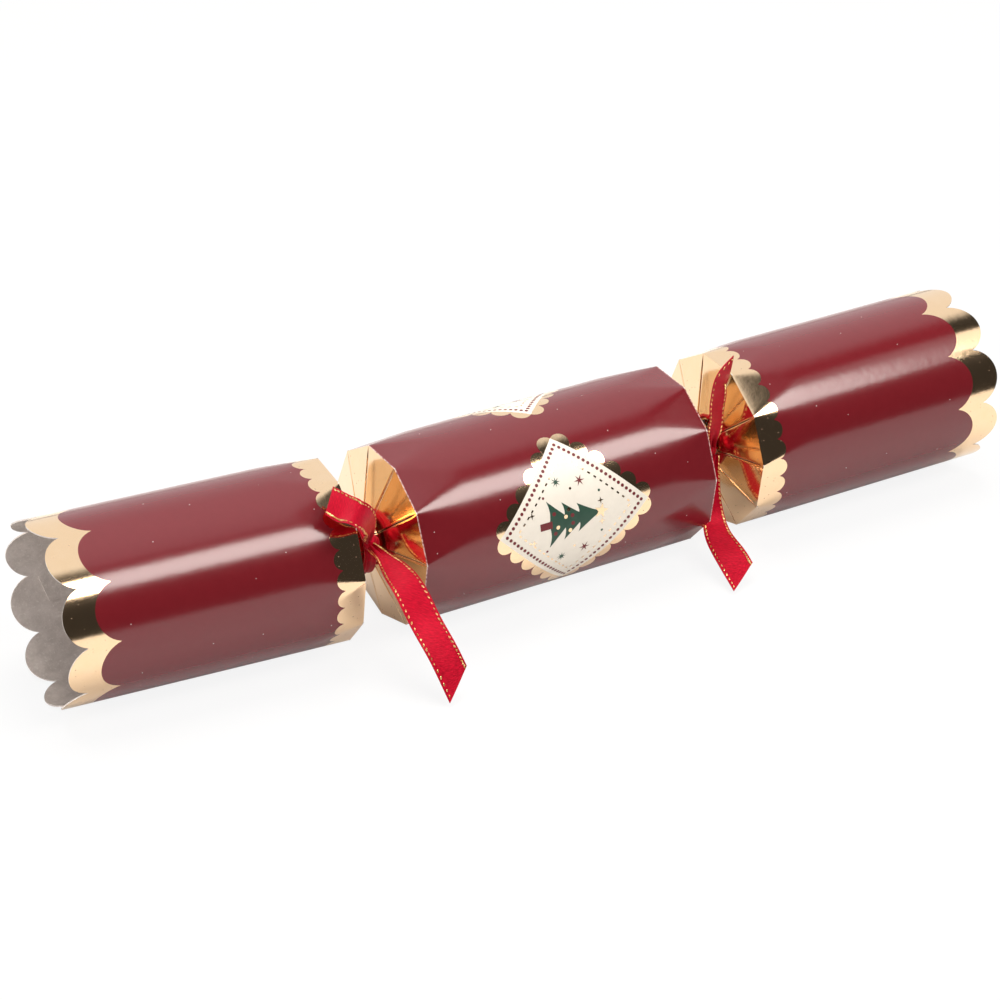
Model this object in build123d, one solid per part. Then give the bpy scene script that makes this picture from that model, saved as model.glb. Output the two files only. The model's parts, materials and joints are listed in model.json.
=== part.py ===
from build123d import *
import math
import os

# A table cracker lying on its side. Millimetres, +X along the barrel, +Z up, floor at z = 0,
# origin on the floor under the middle of the barrel. Angles round the tube are counted from
# the front (-Y) upwards.

# Card tube
TUBE_RADIUS = 26.75
CARD = 0.4
BARREL_LENGTH = 97.5
NECK_GAP = 16.5
END_LENGTH = 87.25
SHOULDER_LENGTH = 20.0
LAP_WIDTH = 9.4
LAP_SETBACK = 2.6
LAP_TAPER = 2.3
SEAM_NOTCH = 5

# Folds and rim
FACETS = 11
FOLD_ANGLE = 6.5
RIM_LOBES = 10
NOTCH_ANGLE = 5.9
LOBE_DEPTH = 6.2
GUSSET_DEPTH = 3.0
RIDGE_HEIGHT = 0.35
RIDGE_SETBACK = 1.2
GUSSET_SETBACK = 2.2

# Pinched waist
WAIST_RADIUS = 7.8
WAIST_HALF_LENGTH = 4.4
WAIST_BORE = 4.8
PLEAT_DEPTH = 1.3
FUNNEL_RADIUS = 6.5
FUNNEL_OFFSET = 3.4
SWING_CLEARANCE = 0.3
LEFT_SWING = -5.3

# Ribbon
RIBBON_WIDTH = 10.0
RIBBON_THICKNESS = 0.5
TIE_WIDTH = 4.4
TIE_THICKNESS = 1.4
TIE_ROUNDING = 0.45
TIE_CLEARANCE = 0.05
LEFT_KNOT_ANGLE = 26.0
RIGHT_KNOT_ANGLE = 17.0
KNOT_WIDTH = 4.6
KNOT_LENGTH = 6.4
KNOT_HEIGHT = 2.8
KNOT_ROUNDING = 1.2
KNOT_TO_TAIL = 0.6
TAIL_SPREAD = 6.0
LONG_CUT = 7.0
LEFT_SHORT_CUT = -3.0
RIGHT_SHORT_CUT = 5.0

# Snap
STRIP_WIDTH = 6.0
STRIP_THICKNESS = 0.35
STRIP_SPACING = 0.5
STRIP_OVERLAP = 24.0
STRIP_REACH = 5.0
STRIP_TO_TAIL = 0.8
TAIL_LIFT_START = 9.0
TAIL_LIFT_END = 34.0
TAIL_START_BEND = 6.0
TAIL_BEND = 12.0
TAIL_GLUED_LENGTH = 18.0
GLUE_LINE = 0.05
PATCH_LENGTH = 8.0
PATCH_WIDTH = 4.0
PATCH_THICKNESS = 0.2
SLEEVE_LENGTH = 22.0
SLEEVE_WALL = 0.2
SLEEVE_CLEARANCE = 0.15

# Paper hat, motto and gift
CONTENTS_CLEARANCE = 0.3
CONTENTS_TRAVEL = 4.0
CROWN_RADIUS = 9.0
CROWN_LENGTH = 50.0
CROWN_CENTRE = -15.0
CROWN_POINTS = 8
CROWN_POINT_DEPTH = 7.0
CROWN_WALL = 4.6
MOTTO_WALL = 0.8
MOTTO_LENGTH = 44.0
TOP_RADIUS = 10.0
TOP_RIM_WIDTH = 5.0
TOP_CONE_LENGTH = 8.0
TOP_TIP_RADIUS = 2.4
TOP_CENTRE = 26.0
STEM_RADIUS = 1.6
STEM_CLEARANCE = 0.05
STEM_LENGTH = 24.0
STEM_ROUNDING = 0.8

# Worked out from the values above
FOLD_STEP = 360.0 / FACETS
HALF_STEP = math.pi / FACETS
LOBE_STEP = 360.0 / RIM_LOBES
CORNER_RADIUS = TUBE_RADIUS
CORNER_WALL = CARD / math.cos(HALF_STEP)
AXIS_HEIGHT = TUBE_RADIUS
CREASE = NECK_GAP / 2
NECK_X = BARREL_LENGTH / 2 + CREASE
RIM_NOTCH = CREASE + END_LENGTH - LOBE_DEPTH
TIE_RADIUS = WAIST_RADIUS + TIE_CLEARANCE
KNOT_SEAT = TIE_RADIUS + TIE_THICKNESS / 2


def around(x, radius, angle):
    """A point at a radius and an angle round the tube's axis."""
    turn = math.radians(angle)
    return Vector(x, -radius * math.cos(turn), radius * math.sin(turn))


def fold_angles():
    """Angles of the fold lines."""
    return [FOLD_ANGLE + FOLD_STEP * i for i in range(FACETS)]


def facet_wire(x, radius):
    """The folded outline: straight from fold to fold."""
    return Wire.make_polygon([around(x, radius, a) for a in fold_angles()], close=True)


def round_wire(x, radius):
    """The round outline, in one arc from fold to fold."""
    arcs = []
    for a in fold_angles():
        middle = around(x, radius, a + FOLD_STEP / 2)
        arcs.append(ThreePointArc(around(x, radius, a), middle, around(x, radius, a + FOLD_STEP)))
    return Wire(arcs)


def ring(x, outer, inner, length):
    """A straight stretch of round tube along X."""
    return extrude(Plane.YZ.offset(x) * (Circle(outer) - Circle(inner)), amount=length)


def shoulder(folded_x, round_x):
    """The stretch where the folded outline eases into the round tube."""
    outer = Solid.make_loft([facet_wire(folded_x, CORNER_RADIUS), round_wire(round_x, TUBE_RADIUS)], True)
    folded_bore = facet_wire(folded_x, CORNER_RADIUS - CORNER_WALL)
    inner = Solid.make_loft([folded_bore, round_wire(round_x, TUBE_RADIUS - CARD)], True)
    return outer - inner


def lap_angles():
    """Where the glued lap starts, at the seam on a rim notch, and where its free edge lies."""
    seam = NOTCH_ANGLE + SEAM_NOTCH * LOBE_STEP
    return seam, seam + math.degrees(LAP_WIDTH / (TUBE_RADIUS - CARD))


def lap(x, length):
    """The glued lap, a second layer of card inside the tube from the seam on."""
    outer = TUBE_RADIUS - CARD / 2
    inner = TUBE_RADIUS - 2 * CARD
    low, high = lap_angles()
    middle = (low + high) / 2
    edges = [
        ThreePointArc(around(x, outer, low), around(x, outer, middle), around(x, outer, high)),
        Line(around(x, outer, high), around(x, inner, high)),
        ThreePointArc(around(x, inner, high), around(x, inner, middle), around(x, inner, low)),
        Line(around(x, inner, low), around(x, outer, low)),
    ]
    return extrude(Face(Wire(edges)), amount=length, dir=(1, 0, 0))


def lap_slant(x):
    """What a slanting cut takes off the lap's end at x: nothing at the seam, most at the free edge."""
    low, high = lap_angles()
    middle = (low + high) / 2
    plane = Plane(origin=(x, 0, 0), x_dir=(1, 0, 0), z_dir=around(0, 1, middle))
    near = plane.y_dir.dot(around(0, TUBE_RADIUS, low))
    far = plane.y_dir.dot(around(0, TUBE_RADIUS, high))
    outline = Polyline((0, near), (-LAP_TAPER, far), (0, far), close=True)
    return extrude(plane * make_face(outline), amount=TUBE_RADIUS)


def rim_lobes():
    """The rounded lobes cut into the tube's open end."""
    half_width = TUBE_RADIUS * math.sin(math.pi / RIM_LOBES)
    band = ring(RIM_NOTCH, TUBE_RADIUS, TUBE_RADIUS - CARD, LOBE_DEPTH)
    prisms = []
    for i in range(RIM_LOBES):
        out = around(0, 1, NOTCH_ANGLE + LOBE_STEP * (i + 0.5))
        plane = Plane(origin=(RIM_NOTCH, 0, 0), x_dir=(1, 0, 0), z_dir=out)
        arc = ThreePointArc((0, -half_width), (LOBE_DEPTH, 0), (0, half_width))
        outline = make_face([arc, Line((0, half_width), (0, -half_width))])
        prisms.append(extrude(plane * outline, amount=TUBE_RADIUS + LOBE_DEPTH))
    return [band & prism for prism in prisms]


def end_tube():
    """One end tube, with its neck's middle at the origin and its open rim towards +X."""
    round_x = CREASE + SHOULDER_LENGTH
    tube = Part() + shoulder(CREASE, round_x)
    tube += ring(round_x, TUBE_RADIUS, TUBE_RADIUS - CARD, RIM_NOTCH - round_x)
    tube += rim_lobes()
    lap_end = RIM_NOTCH - LAP_SETBACK
    tube += lap(round_x, lap_end - round_x) - lap_slant(lap_end)
    return tube


def facets():
    """The folded facets of an end tube's neck, with a gusset of doubled card tucked behind each fold."""
    run = CREASE - FUNNEL_OFFSET
    slope = run / (CORNER_RADIUS - FUNNEL_RADIUS)
    ply = CARD * math.hypot(1, slope / math.cos(HALF_STEP))
    narrow = facet_wire(FUNNEL_OFFSET, FUNNEL_RADIUS)
    cone = Solid.make_loft([narrow, facet_wire(CREASE, CORNER_RADIUS)], True)
    skin = Part() + cone - Pos(ply, 0, 0) * cone
    ridge_x = CREASE - RIDGE_SETBACK * slope - RIDGE_HEIGHT
    profile = Polyline(
        (CREASE, CORNER_RADIUS),
        (ridge_x, CORNER_RADIUS - RIDGE_SETBACK),
        (FUNNEL_OFFSET - RIDGE_HEIGHT, FUNNEL_RADIUS),
        (FUNNEL_OFFSET + ply + GUSSET_DEPTH, FUNNEL_RADIUS),
        (CREASE, CORNER_RADIUS - GUSSET_SETBACK),
        close=True,
    )
    for a in fold_angles():
        out = around(0, 1, a)
        plane = Plane(origin=(0, 0, 0), x_dir=(1, 0, 0), z_dir=Vector(1, 0, 0).cross(out))
        skin += extrude(plane * make_face(profile), amount=CARD, both=True)
    return skin


def tube_neck():
    """The end tube's side of the neck, torn off round at the waist with room to swing."""
    return facets() - Sphere(WAIST_RADIUS + SWING_CLEARANCE)


def barrel_neck():
    """The barrel's side of the neck, running into the pinched and pleated waist."""
    points = []
    for a in fold_angles():
        points.append(around(-WAIST_HALF_LENGTH, WAIST_RADIUS + PLEAT_DEPTH, a))
        points.append(around(-WAIST_HALF_LENGTH, WAIST_RADIUS - PLEAT_DEPTH, a + FOLD_STEP / 2))
    star = Face(Wire.make_polygon(points, close=True))
    waist = extrude(star, amount=2 * WAIST_HALF_LENGTH, dir=(1, 0, 0)) & Sphere(WAIST_RADIUS)
    neck = mirror(facets(), about=Plane.YZ) + waist
    return neck - Rot(0, 90, 0) * Cylinder(WAIST_BORE, 2 * NECK_GAP)


def ribbon_tie(knot_angle):
    """The ribbon's turns, bunched round the waist, with the knot on the front."""
    section = RectangleRounded(TIE_WIDTH, TIE_THICKNESS, TIE_ROUNDING)
    turns = revolve(Pos(0, KNOT_SEAT) * section, Axis.X)
    knot = fillet(Box(KNOT_WIDTH, KNOT_HEIGHT, KNOT_LENGTH).edges(), KNOT_ROUNDING)
    seat = around(0, KNOT_SEAT + KNOT_HEIGHT / 2, knot_angle)
    return turns + Pos(seat) * Rot(-knot_angle, 0, 0) * knot


def ribbon_tail(stations, cut):
    """A loose end of flat ribbon through its stations, with the last one cut on the slant."""
    centres = [Vector(*centre) for centre, _, _ in stations]
    last = len(stations) - 1
    wires = []
    for i, (_, across, share) in enumerate(stations):
        along = (centres[min(i + 1, last)] - centres[max(i - 1, 0)]).normalized()
        side = Vector(*across)
        side = (side - along * side.dot(along)).normalized() * (share * RIBBON_WIDTH / 2)
        up = along.cross(side).normalized() * (RIBBON_THICKNESS / 2)
        if i == last:
            side -= along * (cut / 2)
        corners = [side + up, side - up, -side - up, -side + up]
        wires.append(Wire.make_polygon([centres[i] + corner for corner in corners], close=True))
    return Solid.make_loft(wires, True)


def snap_strip(height):
    """The straight inner part of one snap strip, from past the barrel's middle out through the waist."""
    start = -STRIP_OVERLAP / 2
    stop = NECK_X + STRIP_REACH
    return Pos((start + stop) / 2, 0, height) * Box(stop - start, STRIP_WIDTH, STRIP_THICKNESS)


def snap_tail():
    """The strip's outer end: it rises off the axis and is glued along the top of the end tube's bore."""
    half = STRIP_WIDTH / 2
    bore = TUBE_RADIUS - CARD
    glued = math.sqrt(bore**2 - half**2) - GLUE_LINE - STRIP_THICKNESS / 2
    path = FilletPolyline(
        (STRIP_REACH + STRIP_TO_TAIL, 0, 0),
        (TAIL_LIFT_START, 0, 0),
        (TAIL_LIFT_END, 0, glued),
        (TAIL_LIFT_END + TAIL_GLUED_LENGTH, 0, glued),
        radius=[TAIL_START_BEND, TAIL_BEND],
    )
    start = Plane(origin=path @ 0, z_dir=path % 0, x_dir=(0, 1, 0))
    return sweep(start * Rectangle(STRIP_WIDTH, STRIP_THICKNESS), path=path)


def snap_sleeve(strip_bottom):
    """A flat paper sleeve round the overlap, stuck to the underside of the lower strip."""
    stack = 2 * STRIP_THICKNESS + STRIP_SPACING + SLEEVE_CLEARANCE
    bore = Box(SLEEVE_LENGTH, STRIP_WIDTH + 2 * SLEEVE_CLEARANCE, stack)
    shell = Box(SLEEVE_LENGTH, STRIP_WIDTH + 2 * SLEEVE_CLEARANCE + 2 * SLEEVE_WALL, stack + 2 * SLEEVE_WALL)
    return Pos(0, 0, strip_bottom + stack / 2) * (shell - bore)


def floor_inside(x):
    """Height of the barrel's inner bottom, which the folds raise towards the shoulder, with room over it."""
    rise = TUBE_RADIUS - CORNER_RADIUS * math.cos(HALF_STEP)
    share = max(0.0, abs(x) - BARREL_LENGTH / 2 + SHOULDER_LENGTH) / SHOULDER_LENGTH
    return AXIS_HEIGHT - TUBE_RADIUS + CARD + CONTENTS_CLEARANCE + share * rise


def paper_crown():
    """The tissue hat, rolled up, with the points of its zigzag edge at one end."""
    roll = Rot(0, 90, 0) * Cylinder(CROWN_RADIUS, CROWN_LENGTH)
    roll -= Rot(0, 90, 0) * Cylinder(CROWN_RADIUS - CROWN_WALL, CROWN_LENGTH)
    half_width = CROWN_RADIUS * math.sin(math.pi / CROWN_POINTS)
    tip = CROWN_LENGTH / 2
    for i in range(CROWN_POINTS // 2):
        notch = Polyline((tip, -half_width), (tip - CROWN_POINT_DEPTH, 0), (tip, half_width), close=True)
        cutter = extrude(make_face(notch), amount=CROWN_RADIUS, both=True)
        roll -= Rot(360 / CROWN_POINTS * i, 0, 0) * cutter
    return roll


def motto_slip():
    """The printed slip, rolled up inside the hat."""
    outer = CROWN_RADIUS - CROWN_WALL - CONTENTS_CLEARANCE
    return ring(-MOTTO_LENGTH / 2, outer, outer - MOTTO_WALL, MOTTO_LENGTH)


def top_body():
    """A turned wooden top, lying with its axis along X and bored for its stem."""
    nose = TOP_RIM_WIDTH + TOP_CONE_LENGTH
    profile = Polyline(
        (0, 0),
        (0, TOP_RADIUS),
        (TOP_RIM_WIDTH, TOP_RADIUS),
        (nose, TOP_TIP_RADIUS),
        (nose, 0),
        close=True,
    )
    body = revolve(make_face(profile), Axis.X)
    return body - Rot(0, 90, 0) * Cylinder(STEM_RADIUS + STEM_CLEARANCE, 2 * STEM_LENGTH)


def top_stem():
    """The top's stem, glued through the body, with a rounded spinning tip."""
    nose = TOP_RIM_WIDTH + TOP_CONE_LENGTH
    centre = nose + TOP_TIP_RADIUS - STEM_LENGTH / 2
    stem = Pos(centre, 0, 0) * Rot(0, 90, 0) * Cylinder(STEM_RADIUS, STEM_LENGTH)
    return fillet(stem.edges().filter_by(GeomType.CIRCLE), STEM_ROUNDING)


# Places of the main groups
LIFT = Pos(0, 0, AXIS_HEIGHT)
RIGHT_NECK = Pos(NECK_X, 0, AXIS_HEIGHT)
LEFT_NECK = Pos(-NECK_X, 0, AXIS_HEIGHT)
LEFT_END = LEFT_NECK * Rot(0, 0, LEFT_SWING)

nodes = {}

# Barrel: one lapped tube, folded at both ends
straight = BARREL_LENGTH / 2 - SHOULDER_LENGTH
barrel = Part() + ring(-straight, TUBE_RADIUS, TUBE_RADIUS - CARD, 2 * straight)
barrel += shoulder(BARREL_LENGTH / 2, straight)
barrel += shoulder(-BARREL_LENGTH / 2, -straight)
barrel += lap(-straight, 2 * straight)
nodes["barrel_wall"] = LIFT * barrel
inner_neck = barrel_neck()
nodes["barrel_right_neck"] = RIGHT_NECK * inner_neck
nodes["barrel_left_neck"] = LEFT_NECK * mirror(inner_neck, about=Plane.YZ)

# End tubes, the left one swung a little at its neck
outer_tube = end_tube()
outer_neck = tube_neck()
outer_tail = snap_tail()
nodes["right_tube"] = RIGHT_NECK * outer_tube
nodes["right_tube_neck"] = RIGHT_NECK * outer_neck
nodes["right_snap_tail"] = RIGHT_NECK * outer_tail
nodes["left_tube"] = LEFT_END * mirror(outer_tube, about=Plane.YZ)
nodes["left_tube_neck"] = LEFT_END * mirror(outer_neck, about=Plane.YZ)
nodes["left_snap_tail"] = LEFT_END * mirror(outer_tail, about=Plane.YZ)

# Ribbons: centre, direction of the width and share of the width of each station, from the neck's middle
KNOT_FACE = KNOT_SEAT + KNOT_HEIGHT + KNOT_TO_TAIL
left_long = [
    (around(-1.2, KNOT_FACE, LEFT_KNOT_ANGLE - TAIL_SPREAD), (1, 0, 0.3), 0.25),
    ((-0.2, -15.2, 3.2), (0.94, 0.34, 0), 0.45),
    ((0.8, -21.2, 1.4), (0.91, 0.33, 0.25), 0.76),
    ((1.1, -29.0, -1.0), (0.96, 0.22, 0.2), 0.93),
    ((1.1, -38.8, -7.5), (0.97, 0.16, 0.2), 0.95),
    ((2.7, -45.5, -14.5), (0.98, 0.11, 0.17), 0.95),
    ((4.4, -50.5, -21.9), (0.97, 0.12, 0.2), 0.95),
]
left_short = [
    (around(-1.8, KNOT_FACE, LEFT_KNOT_ANGLE + TAIL_SPREAD), (0.88, 0, 0.48), 0.25),
    ((-4.2, -17.6, 13.5), (0.89, 0.46, 0), 0.42),
    ((-8.2, -22.4, 20.0), (0.8, 0.6, 0), 0.8),
    ((-12.0, -23.2, 23.8), (0.76, 0.62, 0.17), 0.95),
    ((-14.2, -20.0, 24.6), (0.7, 0.58, 0.41), 0.95),
    ((-16.9, -16.5, 26.2), (0.63, 0.68, 0.37), 0.95),
]
right_long = [
    (around(0.6, KNOT_FACE, RIGHT_KNOT_ANGLE - TAIL_SPREAD), (1, 0, 0), 0.25),
    ((-1.5, -14.5, -4.4), (1, 0, 0), 0.45),
    ((-2.9, -17.5, -13.0), (0.98, 0, 0.19), 0.62),
    ((-4.7, -23.0, -18.0), (0.99, 0, 0.13), 0.82),
    ((-6.4, -33.0, -20.6), (0.97, 0, 0.24), 0.95),
    ((-7.0, -40.0, -23.5), (0.96, 0, 0.25), 0.95),
]
right_short = [
    (around(0.4, KNOT_FACE, RIGHT_KNOT_ANGLE + TAIL_SPREAD), (1, 0, 0), 0.25),
    ((-0.2, -13.0, 9.6), (0.94, 0, -0.34), 0.45),
    ((-0.5, -14.0, 16.0), (0.74, 0.31, -0.6), 0.68),
    ((-0.6, -14.5, 22.3), (0.75, 0.35, -0.55), 0.88),
    ((0.7, -14.0, 27.3), (0.67, 0.42, -0.61), 0.95),
    ((5.0, -12.4, 29.4), (0.57, 0.42, -0.71), 0.95),
]
for side, neck, knot_angle, long_tail, short_tail, short_cut in (
    ("left", LEFT_NECK, LEFT_KNOT_ANGLE, left_long, left_short, LEFT_SHORT_CUT),
    ("right", RIGHT_NECK, RIGHT_KNOT_ANGLE, right_long, right_short, RIGHT_SHORT_CUT),
):
    nodes[f"{side}_ribbon_loop"] = neck * ribbon_tie(knot_angle)
    nodes[f"{side}_ribbon_long_tail"] = neck * ribbon_tail(long_tail, LONG_CUT)
    nodes[f"{side}_ribbon_short_tail"] = neck * ribbon_tail(short_tail, short_cut)

# Snap: two overlapping strips along the axis, with the patches that rub together between them
level = (STRIP_SPACING + STRIP_THICKNESS) / 2
patch = Box(PATCH_LENGTH, PATCH_WIDTH, PATCH_THICKNESS)
patch_level = (STRIP_SPACING - PATCH_THICKNESS) / 2
nodes["right_snap_strip"] = LIFT * snap_strip(-level)
nodes["left_snap_strip"] = LIFT * mirror(snap_strip(level), about=Plane.YZ)
nodes["right_snap_charge"] = LIFT * Pos(0, 0, -patch_level) * patch
nodes["left_snap_grit"] = LIFT * Pos(0, 0, patch_level) * patch
nodes["snap_sleeve"] = LIFT * snap_sleeve(-STRIP_SPACING / 2 - STRIP_THICKNESS)

# Contents, resting on the bottom of the barrel
crown_reach = abs(CROWN_CENTRE) + CROWN_LENGTH / 2 + CONTENTS_TRAVEL
top_reach = TOP_CENTRE + TOP_RIM_WIDTH + CONTENTS_TRAVEL
CROWN_PLACE = Pos(CROWN_CENTRE, 0, floor_inside(crown_reach) + CROWN_RADIUS)
TOP_PLACE = Pos(TOP_CENTRE, 0, floor_inside(top_reach) + TOP_RADIUS)
nodes["paper_crown"] = CROWN_PLACE * paper_crown()
nodes["motto_slip"] = CROWN_PLACE * motto_slip()
nodes["top_body"] = TOP_PLACE * top_body()
nodes["top_stem"] = TOP_PLACE * top_stem()

os.makedirs("parts", exist_ok=True)
for name, node in nodes.items():
    export_step(node, f"parts/{name}.step")
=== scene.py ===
import json
import math
import bpy
from mathutils import Matrix, Quaternion, Vector


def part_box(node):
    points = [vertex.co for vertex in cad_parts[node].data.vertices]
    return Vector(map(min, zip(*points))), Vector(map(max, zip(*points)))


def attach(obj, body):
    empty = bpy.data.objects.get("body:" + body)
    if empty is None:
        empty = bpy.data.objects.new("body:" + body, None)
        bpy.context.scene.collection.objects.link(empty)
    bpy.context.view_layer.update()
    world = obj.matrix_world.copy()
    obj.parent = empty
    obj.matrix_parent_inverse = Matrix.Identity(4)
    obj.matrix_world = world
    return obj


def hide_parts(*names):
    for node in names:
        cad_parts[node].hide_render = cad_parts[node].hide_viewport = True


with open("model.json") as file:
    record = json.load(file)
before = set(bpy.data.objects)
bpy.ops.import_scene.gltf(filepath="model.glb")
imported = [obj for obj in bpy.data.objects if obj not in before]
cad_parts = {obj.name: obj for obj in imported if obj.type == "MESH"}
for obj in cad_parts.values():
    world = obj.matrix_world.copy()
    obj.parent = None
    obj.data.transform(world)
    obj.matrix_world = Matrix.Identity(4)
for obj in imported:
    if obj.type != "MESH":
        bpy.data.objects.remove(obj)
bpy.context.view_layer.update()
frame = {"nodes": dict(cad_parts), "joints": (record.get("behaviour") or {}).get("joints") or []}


# The studio. A pale sweep that ends just in front of the cracker, a long softbox and a weak panel to the
# front right, a fill to the left, a lamp above, a white surround behind and a dark room in front.
CAMERA_PLACE = (-0.4512, -0.7481, 0.5135)
CAMERA_AZIMUTH = math.radians(-30.57)
CAMERA_ELEVATION = math.radians(29.25)
FIELD_OF_VIEW = math.radians(16.649)
SOFTBOX_PLACE = Vector((0.308, -0.657, 0.895))
SOFTBOX_FACING = Vector((0.50, -0.60, 0.82))
SOFTBOX_ROLL = math.radians(-22)
SOFTBOX_LENGTH = 0.84
SOFTBOX_HEIGHT = 0.37
SOFTBOX_POWER = 10.2
PANEL_PLACE = Vector((0.70, -0.34, 0.81))
PANEL_SIZE = 0.31
PANEL_POWER = 0.40
FILL_PLACE = Vector((-0.95, -0.25, 0.30))
FILL_SIZE = 0.60
FILL_POWER = 6.0
TOP_PLACE = Vector((0.05, 0.26, 1.0))
TOP_SIZE = 0.70
TOP_POWER = 13.5
FLOOR_FRONT = -0.30
FLOOR_REACH = 3.0
FLOOR_PALE = (0.68, 0.68, 0.68, 1)
SHADOW_SHARE = 0.12
MIRRORED_SHADOW_SHARE = 0.85
SURROUND_LEVEL = 0.18
DARK_ROOM = (0.04, 0.037, 0.034, 1)
SURROUND_LEAN = 0.24
SURROUND_SKEW = -1.8
SURROUND_SKEW_FROM = 0.30
SURROUND_SKEW_ZERO = 0.444
SURROUND_SPAN = (0.06, 0.28)
LAMP_COLOUR = (1, 0.955, 0.90)
WHITE = (1, 1, 1, 1)


def plug(tree, node, inputs):
    """Sets inputs of a shader node, each to a value or to another node's output."""
    for name, value in inputs.items():
        if isinstance(value, bpy.types.NodeSocket):
            tree.links.new(value, node.inputs[name])
        else:
            node.inputs[name].default_value = value


def add(tree, kind, inputs=None, **settings):
    """One shader node with its settings and inputs."""
    node = tree.nodes.new("ShaderNode" + kind)
    for name, value in settings.items():
        setattr(node, name, value)
    plug(tree, node, inputs or {})
    return node


def reckon(tree, operation, *values):
    """One sum of values or of other nodes' outputs."""
    return add(tree, "Math", dict(enumerate(values)), operation=operation).outputs[0]


def step_between(tree, value, start, stop):
    """A soft step of a value, 0 before start and 1 after stop."""
    ramp = add(tree, "MapRange", {"Value": value, "From Min": start, "From Max": stop},
               interpolation_type="SMOOTHSTEP")
    return ramp.outputs[0]


def tint(tree, share, first, second):
    """A colour between two others."""
    return add(tree, "MixRGB", {0: share, 1: first, 2: second}).outputs[0]


def shown_share(tree, path, direct, mirrored):
    """One share for rays that show a surface, one for rays that mirror it, 0 for rays that gather light."""
    glossy = reckon(tree, "MAXIMUM", path["Is Glossy Ray"], path["Is Transmission Ray"])
    seen = reckon(tree, "MULTIPLY", path["Is Camera Ray"], direct)
    return reckon(tree, "MAXIMUM", seen, reckon(tree, "MULTIPLY", glossy, mirrored))


def lamp(place, facing, size, power, roll=0.0):
    """A square area lamp whose back points along its facing."""
    bpy.ops.object.light_add(type="AREA", location=place)
    made = bpy.context.object
    made.data.size = size
    made.data.energy = power
    turned = facing.to_track_quat("Z", "Y") @ Quaternion((0, 0, 1), roll)
    made.rotation_euler = turned.to_euler()
    return made


bpy.ops.object.select_all(action="DESELECT")
bpy.ops.object.camera_add(location=CAMERA_PLACE, rotation=(math.pi / 2 - CAMERA_ELEVATION, 0, CAMERA_AZIMUTH))
camera = bpy.context.object
camera.data.angle = FIELD_OF_VIEW
bpy.context.scene.camera = camera
bpy.context.scene.view_settings.view_transform = "Standard"

softbox = lamp(SOFTBOX_PLACE, SOFTBOX_FACING, SOFTBOX_LENGTH, SOFTBOX_POWER, SOFTBOX_ROLL)
softbox.data.shape = "RECTANGLE"
softbox.data.size_y = SOFTBOX_HEIGHT
panel = lamp(PANEL_PLACE, PANEL_PLACE, PANEL_SIZE, PANEL_POWER)
fill = lamp(FILL_PLACE, FILL_PLACE, FILL_SIZE, FILL_POWER)
above = lamp(TOP_PLACE, TOP_PLACE, TOP_SIZE, TOP_POWER)
for warm in (softbox, panel, above):
    warm.data.color = LAMP_COLOUR
for unmirrored in (fill, above):
    unmirrored.visible_glossy = False

world = bpy.data.worlds.new("studio_surround")
world.use_nodes = True
world.node_tree.nodes.clear()
tree = world.node_tree
path = add(tree, "LightPath").outputs
direction = add(tree, "TexCoord").outputs["Generated"]
parts = add(tree, "SeparateXYZ", {0: direction}).outputs
skew = reckon(tree, "MAXIMUM", parts["X"], SURROUND_SKEW_FROM)
skew = reckon(tree, "SUBTRACT", skew, SURROUND_SKEW_ZERO)
edge = reckon(tree, "MULTIPLY_ADD", parts["Z"], SURROUND_LEAN, parts["Y"])
edge = reckon(tree, "MULTIPLY_ADD", skew, SURROUND_SKEW, edge)
room = tint(tree, step_between(tree, edge, *SURROUND_SPAN), DARK_ROOM, WHITE)
backdrop = tint(tree, path["Is Camera Ray"], room, WHITE)
even_light = add(tree, "Background", {"Color": WHITE, "Strength": SURROUND_LEVEL})
shown_room = add(tree, "Background", {"Color": backdrop, "Strength": 1.0})
shown = shown_share(tree, path, 1.0, 1.0)
mix = add(tree, "MixShader", {0: shown, 1: even_light.outputs[0], 2: shown_room.outputs[0]})
add(tree, "OutputWorld", {"Surface": mix.outputs[0]})
bpy.context.scene.world = world

bpy.ops.mesh.primitive_plane_add(size=1)
floor = bpy.context.object
floor.name = "floor"
for corner in floor.data.vertices:
    corner.co.x *= 2 * FLOOR_REACH
    corner.co.y = FLOOR_REACH if corner.co.y > 0 else FLOOR_FRONT
sweep = bpy.data.materials.new("pale_sweep")
sweep.use_nodes = True
sweep.node_tree.nodes.clear()
tree = sweep.node_tree
path = add(tree, "LightPath").outputs
kept_white = shown_share(tree, path, 1 - SHADOW_SHARE, 1 - MIRRORED_SHADOW_SHARE)
lit = add(tree, "BsdfDiffuse", {"Color": FLOOR_PALE})
glow = add(tree, "Emission", {"Color": WHITE, "Strength": 1.0})
mix = add(tree, "MixShader", {0: kept_white, 1: lit.outputs[0], 2: glow.outputs[0]})
add(tree, "OutputMaterial", {"Surface": mix.outputs[0]})
floor.data.materials.append(sweep)


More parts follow.
